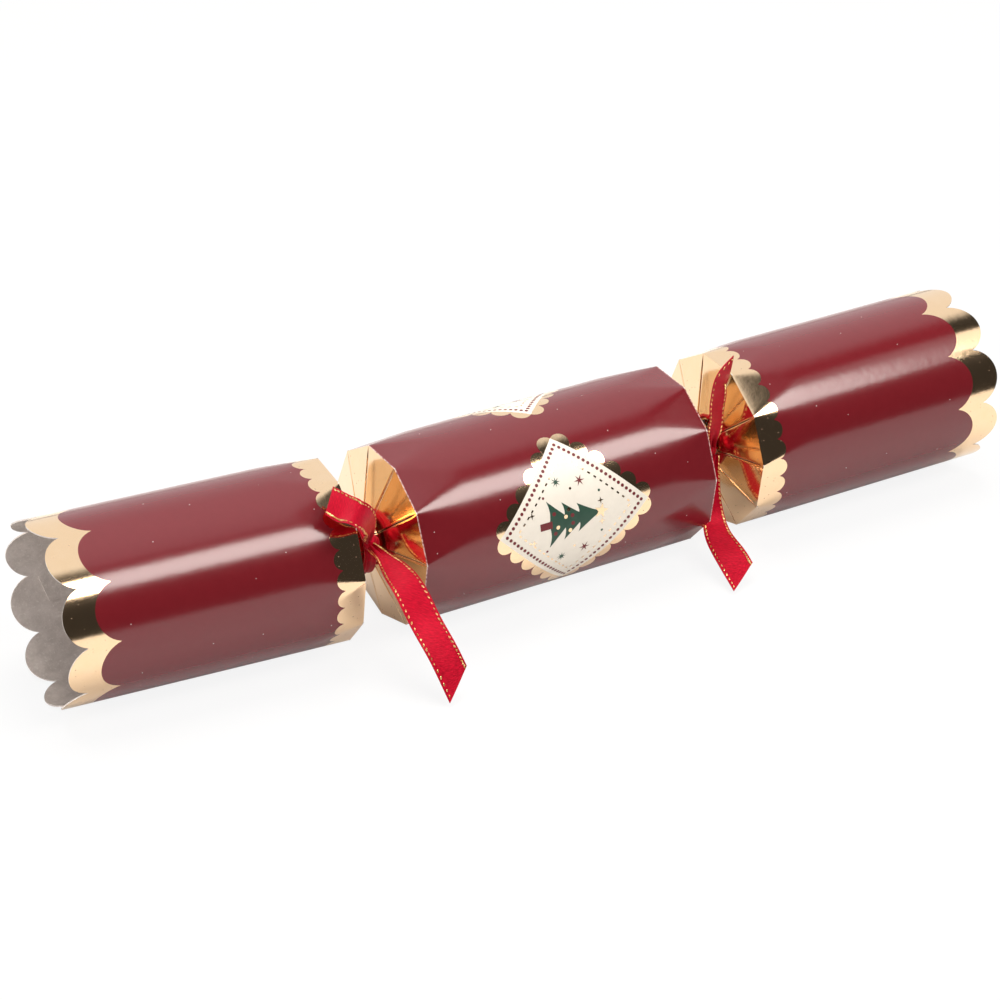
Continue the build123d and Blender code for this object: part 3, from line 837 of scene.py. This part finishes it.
def stitch_places(route, cut, length):
    """Where the stitches of both edges' threads lie, on the ribbon's two faces."""
    places = []
    count = int(length / STITCH_PITCH)
    for edge in (-1, 1):
        for i in range(1, count):
            t = (len(route) - 1) * i / count
            along, side = tail_frame(route, t)[1:3]
            off = edge * (0.5 - THREAD_INSET / RIBBON_WIDTH)
            point, out = tail_point(route, cut, t, off)
            uneven = STITCH_UNEVEN * math.sin(STITCH_DRIFT * i + edge)
            turn = Matrix.Rotation(STITCH_SLANT * edge * (1 + uneven), 4, "Z")
            axes = Matrix((along, side, along.cross(side))).transposed().to_4x4()
            for lift in (-STITCH_RISE, RIBBON_THICKNESS + STITCH_RISE):
                stand = Matrix.Translation(point + out * lift)
                places.append(stand @ axes @ turn @ Matrix.Scale(1 + uneven * STITCH_SPREAD, 4))
    return places


ribbon_satin = satin("ribbon_satin")
thread = metal_thread("gilt_thread")
grain = stitch_shape()
TAILS = (
    ("left_ribbon_long_tail", LEFT_LONG, LONG_CUT, -1),
    ("left_ribbon_short_tail", LEFT_SHORT, LEFT_SHORT_CUT, -1),
    ("right_ribbon_long_tail", RIGHT_LONG, LONG_CUT, 1),
    ("right_ribbon_short_tail", RIGHT_SHORT, RIGHT_SHORT_CUT, 1),
)
for node, route, cut, sign in TAILS:
    moved = Matrix.Translation((sign * NECK_X, 0, AXIS_HEIGHT))
    tail = flat_sheet(node + "_satin", TAIL_COLUMNS, TAIL_ROWS)
    form(tail, TAIL_COLUMNS, TAIL_ROWS, tail_place(route, cut))
    finish_sheet(tail, RIBBON_THICKNESS, [ribbon_satin], moved, smooth=SATIN_FOLD)
    length = tail_length(route)
    stitches = copies(node + "_thread", grain, stitch_places(route, cut, length))
    stitches.data.transform(moved)
    stitches.data.materials.append(thread)
    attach(tail, "barrel")
    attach(stitches, "barrel")
    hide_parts(node)


# The ties. Each ribbon's turns round the waist, drawn tight into ridges, and the single knot on top of them
# where the ends come out.
TIE_RADIUS = 0.0086
TIE_HALF_WIDTH = 0.0022
TIE_HALF_THICKNESS = 0.00072
TIE_RIDGES = 4
TIE_RIDGE_DEPTH = 0.00028
TIE_RIDGE_SWAY = 0.9
TIE_EDGE_POWER = 0.6
TIE_FACE_POWER = 0.7
TIE_NARROWING = 0.18
TIE_NARROWS_NEAR = 4
TIE_WELD = 0.00001
TIE_COLUMNS = 120
TIE_ROWS = 40
KNOT_RADIUS = 0.0100
KNOT_HALF = Vector((0.0023, 0.0031, 0.0018))
KNOT_FOLDS = 5
KNOT_FOLD_DEPTH = 0.10
KNOT_FOLD_TWIST = 4.0
KNOT_TAPER = 0.25
KNOT_SEGMENTS = 48
KNOT_RINGS = 32


def tie_place(knot):
    """The rule that forms the turns round a waist: a flat ridged section that narrows at the knot."""
    def place(column, row):
        angle = 2 * math.pi * column / TIE_COLUMNS
        turn = 2 * math.pi * row / TIE_ROWS
        wide = math.copysign(abs(math.cos(turn)) ** TIE_EDGE_POWER, math.cos(turn))
        thick = math.copysign(abs(math.sin(turn)) ** TIE_FACE_POWER, math.sin(turn))
        wave = math.sin(math.pi * TIE_RIDGES * wide + TIE_RIDGE_SWAY * math.sin(2 * angle))
        ridge = TIE_RIDGE_DEPTH * wave * max(0.0, thick)
        narrow = 1 - TIE_NARROWING * math.exp(-TIE_NARROWS_NEAR * (1 - math.cos(angle - knot)))
        radius = TIE_RADIUS + TIE_HALF_THICKNESS * thick + ridge
        spot = (turn * TIE_HALF_WIDTH * MM, TIE_RADIUS * angle * MM)
        return around(angle, TIE_HALF_WIDTH * narrow * wide, radius), spot
    return place


def weld(distance, outward=False):
    """Joins corners of the picked piece that nearly touch, and turns its faces outward if asked."""
    bpy.ops.object.mode_set(mode="EDIT")
    bpy.ops.mesh.select_all(action="SELECT")
    bpy.ops.mesh.remove_doubles(threshold=distance)
    if outward:
        bpy.ops.mesh.normals_make_consistent(inside=False)
    bpy.ops.object.mode_set(mode="OBJECT")


def knot_point(corner):
    """A point of a ball drawn into a knot, with folds that run round it."""
    fold = math.atan2(corner.z, corner.x)
    waist = 1 - KNOT_TAPER * corner.y * corner.y
    folds = math.sin(KNOT_FOLDS * fold + KNOT_FOLD_TWIST * corner.y)
    swell = 1 + KNOT_FOLD_DEPTH * folds * (1 - corner.y * corner.y)
    return Vector((corner.x * KNOT_HALF.x, corner.y * KNOT_HALF.y, corner.z * KNOT_HALF.z)) * waist * swell


for side, sign in (("left", -1), ("right", 1)):
    moved = Matrix.Translation((sign * NECK_X, 0, AXIS_HEIGHT))
    tie = flat_sheet(f"{side}_ribbon_turns", TIE_COLUMNS, TIE_ROWS)
    form(tie, TIE_COLUMNS, TIE_ROWS, tie_place(KNOT_ANGLE[side]))
    tie.data.transform(moved)
    weld(TIE_WELD, outward=True)
    bpy.ops.object.shade_smooth()
    tie.data.materials.append(ribbon_satin)
    bpy.ops.object.select_all(action="DESELECT")
    bpy.ops.mesh.primitive_uv_sphere_add(segments=KNOT_SEGMENTS, ring_count=KNOT_RINGS, radius=1)
    knot = bpy.context.object
    knot.name = f"{side}_ribbon_knot"
    for corner in knot.data.vertices:
        corner.co = knot_point(corner.co)
    turn = KNOT_ANGLE[side]
    stand = Matrix((Vector((1, 0, 0)), around(turn + math.pi / 2, 0, 1), around(turn, 0, 1)))
    knot.data.transform(Matrix.Translation(around(turn, 0, KNOT_RADIUS)) @ stand.transposed().to_4x4())
    knot.data.transform(moved)
    bpy.ops.object.shade_smooth()
    knot.data.materials.append(ribbon_satin)
    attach(tie, "barrel")
    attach(knot, "barrel")
    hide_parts(f"{side}_ribbon_loop")


# The labels. Three diamonds printed on the barrel's sheet: cream with rows of dots and foil dashes and a fir
# tree among snow crystals, inside a foil-stamped scalloped edge. Print and foil lie flush on the card.
LABEL_ANGLES = (math.radians(9.1), math.radians(139.6), math.radians(256.0))
LABEL_HALF = 0.0249
LABEL_SIDE = LABEL_HALF * math.sqrt(2)
LOBES_PER_SIDE = 6
LOBE_COLUMNS = 10
EDGE_COLUMNS = 4 * LOBES_PER_SIDE * LOBE_COLUMNS
LABEL_LOBE_DEPTH = 0.0031
LABEL_ROWS = 24
PRINT_LIFT = 0.000016
PRINT_THICKNESS = 0.00001
PRINT_WELD = 0.000004
DOTS_PER_SIDE = 20
DOT_INSET = 0.0017
DOT_RADIUS = 0.00053
DASHES_PER_SIDE = 12
DASH_INSET = 0.0042
DASH_LENGTH = 0.0012
DASH_WIDTH = 0.00048
MESH_STEP = 0.0011
TREE_TIERS = 3
TREE_FOOT = -0.0085
TIER_HEIGHT = 0.0078
TIER_RISE = 0.0048
TIER_HALF_WIDTH = 0.0072
TIER_SHRINK = 0.0014
TIER_CURVE = 1.15
FOOT_SCOOP = 0.0006
TREE_TOP = TREE_FOOT + TIER_RISE * (TREE_TIERS - 1) + TIER_HEIGHT
TRUNK_LENGTH = 0.0030
TRUNK_WIDTH = 0.0022
TRUNK_OVERLAP = 0.001
BAUBLE_RADIUS = 0.00062
LOW_BAUBLES = (TREE_FOOT + 0.0019, 0.0030)
HIGH_BAUBLES = (TREE_FOOT + 0.0078, 0.0012)
SIDE_BAUBLES = (TREE_FOOT + 0.0068, 0.0032)
MIDDLE_BAUBLES = (TREE_FOOT + 0.0042, 0.0013)
MIDDLE_SLANT = 0.0014
TOP_STAR = (0.0024, 0.0010)
RED_STAR = (0.0018, 0.0005)
GREEN_STAR = (0.0016, 0.0005)
FOIL_STAR = (0.0011, 0.0003)
SNOW_RADIUS = 0.0004
RED_STARS = (0.0035, 0.0105)
RED_SNOW = (-0.0092, 0.0083)
GREEN_STARS = (-0.0040, 0.0118)
GREEN_SNOW = (0.0090, 0.0062)
HIGH_FOIL_STARS = (0.0090, 0.0032)
LOW_FOIL_STARS = (-0.0138, 0.0042)
FOIL_SNOW = (0.0, 0.0090)
CREAM = (0.73, 0.68, 0.60, 1)
CREAM_SHADE = (0.67, 0.62, 0.545, 1)
FIR_GREEN = (0.012, 0.058, 0.034, 1)
FIR_GREEN_DEEP = (0.009, 0.044, 0.026, 1)
INK_CLOUDS = 700
INK_ROUGHNESS = (0.44, 0.54)
INK_RIPPLES = 300
INK_RIPPLE_DEPTH = 0.00003


def print_ink(name, colour, deep):
    """Flat print in one ink, silk to the touch, with the faint cloud of a litho screen."""
    material, tree, shader = new_material(name)
    place = add(tree, "TexCoord").outputs["Object"]
    cloud = noise(tree, place, INK_CLOUDS, 3.0)
    plug(tree, shader, {"Base Color": tint(tree, cloud, colour, deep)})
    roughened(tree, shader, cloud, *INK_ROUGHNESS)
    bumped(tree, shader, noise(tree, place, INK_RIPPLES, 2.0), INK_RIPPLE_DEPTH)
    return material


def on_barrel(centre, up, round_it, lift):
    """A point of a label, up along the barrel and round it from the label's centre."""
    angle = centre + round_it / TUBE_RADIUS
    return around(angle, up, TUBE_RADIUS + lift)


def diamond_edge(side, along, inset):
    """A point along one of the label's four sides, set in from its edge."""
    half = LABEL_HALF - inset * math.sqrt(2)
    start = side * math.pi / 2
    stop = start + math.pi / 2
    up = between(math.cos(start), math.cos(stop), along) * half
    return up, between(math.sin(start), math.sin(stop), along) * half


def scalloped_edge(column):
    """A point of the label's foil edge: round lobes along each side, with cusps at the corners."""
    lobe, spot = divmod(column, LOBE_COLUMNS)
    side, place = divmod(lobe, LOBES_PER_SIDE)
    turn = math.pi * spot / LOBE_COLUMNS
    up, round_it = diamond_edge(side, (place + 0.5 - 0.5 * math.cos(turn)) / LOBES_PER_SIDE, 0)
    out = (side + 0.5) * math.pi / 2
    bulge = LABEL_LOBE_DEPTH * math.sin(turn)
    return up + bulge * math.cos(out), round_it + bulge * math.sin(out)


def straight_edge(column):
    """A point of the cream diamond's edge."""
    side, spot = divmod(column, EDGE_COLUMNS // 4)
    return diamond_edge(side, spot / (EDGE_COLUMNS // 4), 0)


def label_place(edge, centre, lift):
    """The rule that forms a label's sheet on the barrel, from its centre out to an edge."""
    def place(column, row):
        up, round_it = edge(column % EDGE_COLUMNS)
        share = row / LABEL_ROWS
        spot = (up * share * MM, round_it * share * MM)
        return on_barrel(centre, up * share, round_it * share, lift), spot
    return place


def beside(spot, sign):
    """A spot of the label on one side of its upright middle line."""
    return spot[0], sign * spot[1]


def disc(up, round_it, radius, corners=12):
    """The outline of a round dot."""
    turns = [2 * math.pi * i / corners for i in range(corners)]
    return [(up + radius * math.cos(turn), round_it + radius * math.sin(turn)) for turn in turns]


def bar(start, stop, width):
    """The outline of a straight bar between two points."""
    along = (Vector(stop) - Vector(start)).normalized()
    off = Vector((-along.y, along.x)) * (width / 2)
    ends = (Vector(start) - off, Vector(stop) - off, Vector(stop) + off, Vector(start) + off)
    return [tuple(end) for end in ends]


def star(up, round_it, points, radii):
    """The outline of a star, between its outer and inner radius."""
    outline = []
    for i in range(2 * points):
        turn = math.pi * i / points
        radius = radii[i % 2]
        outline.append((up + radius * math.cos(turn), round_it + radius * math.sin(turn)))
    return outline


def tier(number):
    """The outline of one tier of the tree, with a scooped foot."""
    foot = TREE_FOOT + number * TIER_RISE
    half = TIER_HALF_WIDTH - number * TIER_SHRINK
    right = [(foot + FOOT_SCOOP * math.sin(math.pi * i / 4), half * (1 - i / 4)) for i in range(5)]
    left = [(up, -off) for up, off in reversed(right[:-1])]
    slope = [(foot + TIER_HEIGHT * share, half * (1 - share) ** TIER_CURVE) for share in (1.0, 0.66, 0.33)]
    return right + left + [(up, -off) for up, off in reversed(slope)] + slope[1:]


def printed(name, outlines, layer, material, centre):
    """Flat shapes laid on the barrel as thin closed print."""
    corners = []
    faces = []
    for outline in outlines:
        points = [Vector(point) for point in outline]
        middle = sum(points, Vector((0, 0))) / len(points)
        reach = max((point - middle).length for point in points)
        steps = max(1, math.ceil(reach / MESH_STEP))
        for i, point in enumerate(points):
            wedge = len(corners)
            after = points[(i + 1) % len(points)]
            for ring in range(steps + 1):
                rim = between(middle, point, ring / steps), between(middle, after, ring / steps)
                corners += [between(rim[0], rim[1], spot / max(1, ring)) for spot in range(ring + 1)]
            for ring in range(steps):
                here = wedge + ring * (ring + 1) // 2
                out = here + ring + 1
                for spot in range(ring + 1):
                    faces.append((here + spot, out + spot, out + spot + 1))
                    if spot < ring:
                        faces.append((here + spot, out + spot + 1, here + spot + 1))
    laid = [on_barrel(centre, corner.x, corner.y, PRINT_LIFT * layer) for corner in corners]
    lay(loose_piece(name, laid, faces), material)


def lay(piece, material):
    """Closes a print's seams, gives it its thickness and lets it ride the barrel."""
    pick(piece)
    weld(PRINT_WELD)
    normal = piece.data.polygons[0].normal
    centre = piece.data.polygons[0].center
    if normal.dot(Vector((0, centre.y, centre.z))) < 0:
        piece.data.flip_normals()
    finish_sheet(piece, PRINT_THICKNESS, [material], to_axis)
    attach(piece, "barrel")


cream_print = print_ink("cream_print", CREAM, CREAM_SHADE)
burgundy_print = print_ink("burgundy_print", BURGUNDY, BURGUNDY_DEEP)
green_print = print_ink("green_print", FIR_GREEN, FIR_GREEN_DEEP)
label_foil = gold_foil("label_foil")
for number, centre in enumerate(LABEL_ANGLES, 1):
    foil = flat_sheet(f"label_{number}_foil", EDGE_COLUMNS, LABEL_ROWS)
    form(foil, EDGE_COLUMNS, LABEL_ROWS, label_place(scalloped_edge, centre, PRINT_LIFT))
    lay(foil, label_foil)
    cream = flat_sheet(f"label_{number}_cream", EDGE_COLUMNS, LABEL_ROWS)
    form(cream, EDGE_COLUMNS, LABEL_ROWS, label_place(straight_edge, centre, 2 * PRINT_LIFT))
    lay(cream, cream_print)
    dots = []
    dashes = []
    for side in range(4):
        for i in range(DOTS_PER_SIDE):
            dots.append(disc(*diamond_edge(side, i / DOTS_PER_SIDE, DOT_INSET), DOT_RADIUS))
        for i in range(DASHES_PER_SIDE):
            half = DASH_LENGTH / LABEL_SIDE / 2
            middle = (i + 0.5) / DASHES_PER_SIDE
            start = diamond_edge(side, middle - half, DASH_INSET)
            dashes.append(bar(start, diamond_edge(side, middle + half, DASH_INSET), DASH_WIDTH))
    trunk = bar((TREE_FOOT - TRUNK_LENGTH, 0), (TREE_FOOT + TRUNK_OVERLAP, 0), TRUNK_WIDTH)
    gold_marks = dashes + [star(TREE_TOP, 0, 5, TOP_STAR)]
    red_marks = dots + [trunk]
    green_marks = [tier(i) for i in range(TREE_TIERS)]
    for sign in (-1, 1):
        red_marks += [disc(*beside(spot, sign), BAUBLE_RADIUS) for spot in (LOW_BAUBLES, HIGH_BAUBLES)]
        red_marks += [star(*beside(RED_STARS, sign), 6, RED_STAR), disc(*beside(RED_SNOW, sign), SNOW_RADIUS)]
        green_marks += [star(*beside(GREEN_STARS, sign), 8, GREEN_STAR)]
        green_marks += [disc(*beside(GREEN_SNOW, sign), SNOW_RADIUS)]
        middle = MIDDLE_BAUBLES[0] + sign * MIDDLE_SLANT
        gold_marks += [disc(middle, sign * MIDDLE_BAUBLES[1], BAUBLE_RADIUS)]
        gold_marks += [disc(*beside(SIDE_BAUBLES, sign), BAUBLE_RADIUS)]
        gold_marks += [star(*beside(HIGH_FOIL_STARS, sign), 4, FOIL_STAR)]
        gold_marks += [disc(*beside(FOIL_SNOW, sign), SNOW_RADIUS)]
        gold_marks += [star(*beside(LOW_FOIL_STARS, sign), 4, FOIL_STAR)]
    printed(f"label_{number}_green", green_marks, 3, green_print, centre)
    printed(f"label_{number}_red", red_marks, 4, burgundy_print, centre)
    printed(f"label_{number}_gilt", gold_marks, 5, label_foil, centre)


# The snap. Two strips of kraft card that overlap under a paper sleeve, one with a dab of friction charge and
# one with grit, and their outer ends, glued inside the end tubes. The CAD shapes stay and get their finishes.
KRAFT = (0.36, 0.25, 0.155, 1)
KRAFT_DARK = (0.26, 0.17, 0.10, 1)
KRAFT_PALE = (0.50, 0.39, 0.27, 1)
SLEEVE_WHITE = (0.78, 0.76, 0.71, 1)
SLEEVE_SHADE = (0.66, 0.63, 0.57, 1)
GRIT_DARK = (0.03, 0.028, 0.026, 1)
GRIT_PALE = (0.19, 0.175, 0.16, 1)
GRIT_SCALE = 4200.0
GRIT_DEPTH = 0.0002
GRIT_ROUGHNESS = 0.75


def grit(name):
    """A dry dab of coarse powder in glue."""
    material, tree, shader = new_material(name)
    place = add(tree, "TexCoord").outputs["Object"]
    grains = add(tree, "TexVoronoi", {"Vector": place, "Scale": GRIT_SCALE}).outputs["Distance"]
    plug(tree, shader, {"Base Color": tint(tree, grains, GRIT_PALE, GRIT_DARK), "Roughness": GRIT_ROUGHNESS})
    bumped(tree, shader, grains, GRIT_DEPTH)
    return material


def dress(node, material):
    """Gives a CAD piece its finish."""
    for place in frame["nodes"][node].material_slots:
        place.material = material


kraft = bare_board("kraft_card", KRAFT_PALE, KRAFT_DARK, KRAFT)
powder = grit("snap_powder")
for node in ("left_snap_strip", "right_snap_strip", "left_snap_tail", "right_snap_tail"):
    dress(node, kraft)
for node in ("left_snap_grit", "right_snap_charge"):
    dress(node, powder)
dress("snap_sleeve", bare_board("sleeve_paper", WHITE, SLEEVE_SHADE, SLEEVE_WHITE))


# The paper hat and the motto. A band of green tissue cut to points along one edge, rolled up, with the motto
# slip rolled inside it.
ROLL_COLUMNS = 320
ROLL_ROWS = 12
PAPER_THICKNESS = 0.00006
HAT_TURNS = 6
HAT_POINTS = 8
HAT_POINT_DEPTH = 0.007
HAT_CORE = 0.0046
MOTTO_TURNS = 3
MOTTO_CORE = 0.0034
TISSUE_GREEN = (0.03, 0.27, 0.10, 1)
TISSUE_DEEP = (0.02, 0.19, 0.065, 1)
TISSUE_PALE = (0.06, 0.36, 0.16, 1)
MOTTO_WHITE = (0.83, 0.81, 0.76, 1)
MOTTO_SHADE = (0.72, 0.69, 0.63, 1)


def roll_place(node, core, turns, points, depth):
    """The rule that rolls a strip of paper into the place of a CAD piece, with points along one edge."""
    low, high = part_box(node)
    middle = (low + high) / 2
    outer = (high.z - low.z) / 2 - PAPER_THICKNESS
    def place(column, row):
        share = column / ROLL_COLUMNS
        turn = 2 * math.pi * turns * share
        point = abs(2 * (share * turns * points % 1) - 1)
        edge = high.x - (depth * point if points else 0)
        x = between(edge, low.x, row / ROLL_ROWS) - middle.x
        radius = between(core, outer, share)
        return middle + around(turn, x, radius), (turn * radius * MM, x * MM)
    return place


tissue = bare_board("green_tissue", TISSUE_PALE, TISSUE_DEEP, TISSUE_GREEN)
motto_paper = bare_board("motto_paper", WHITE, MOTTO_SHADE, MOTTO_WHITE)
for node, core, turns, points, depth, paper, slot in (
    ("paper_crown", HAT_CORE, HAT_TURNS, HAT_POINTS, HAT_POINT_DEPTH, tissue, "tissue"),
    ("motto_slip", MOTTO_CORE, MOTTO_TURNS, 0, 0, motto_paper, "motto_paper"),
):
    roll = flat_sheet(node + "_roll", ROLL_COLUMNS, ROLL_ROWS)
    form(roll, ROLL_COLUMNS, ROLL_ROWS, roll_place(node, core, turns, points, depth))
    finish_sheet(roll, PAPER_THICKNESS, [paper], Matrix())
    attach(roll, "hat")
    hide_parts(node)


# The gift. A spinning top turned from beech, its stem pushed through the body. The grain runs along the stem,
# with the lathe's fine rings round it.
BEECH = (0.57, 0.36, 0.185, 1)
BEECH_DARK = (0.40, 0.23, 0.105, 1)
GRAIN_STRETCH = (120.0, 900.0, 900.0)
GRAIN_SPAN = (0.3, 0.7)
RING_SCALE = 1500.0
RING_WOBBLE = 1.5
RING_DEPTH = 0.00003
WOOD_ROUGHNESS = 0.45


def turned_wood(name):
    """Beech with a thin oil finish."""
    material, tree, shader = new_material(name)
    place = add(tree, "TexCoord").outputs["Object"]
    stretched = add(tree, "Mapping", {"Vector": place, "Scale": GRAIN_STRETCH}).outputs[0]
    grain = step_between(tree, noise(tree, stretched, 1.0, 4.0), *GRAIN_SPAN)
    plug(tree, shader, {"Base Color": tint(tree, grain, BEECH_DARK, BEECH), "Roughness": WOOD_ROUGHNESS})
    rings = add(tree, "TexWave", {"Vector": place, "Scale": RING_SCALE, "Distortion": RING_WOBBLE},
                bands_direction="X")
    bumped(tree, shader, rings.outputs["Fac"], RING_DEPTH)
    return material


beech = turned_wood("beech")
dress("top_body", beech)
dress("top_stem", beech)
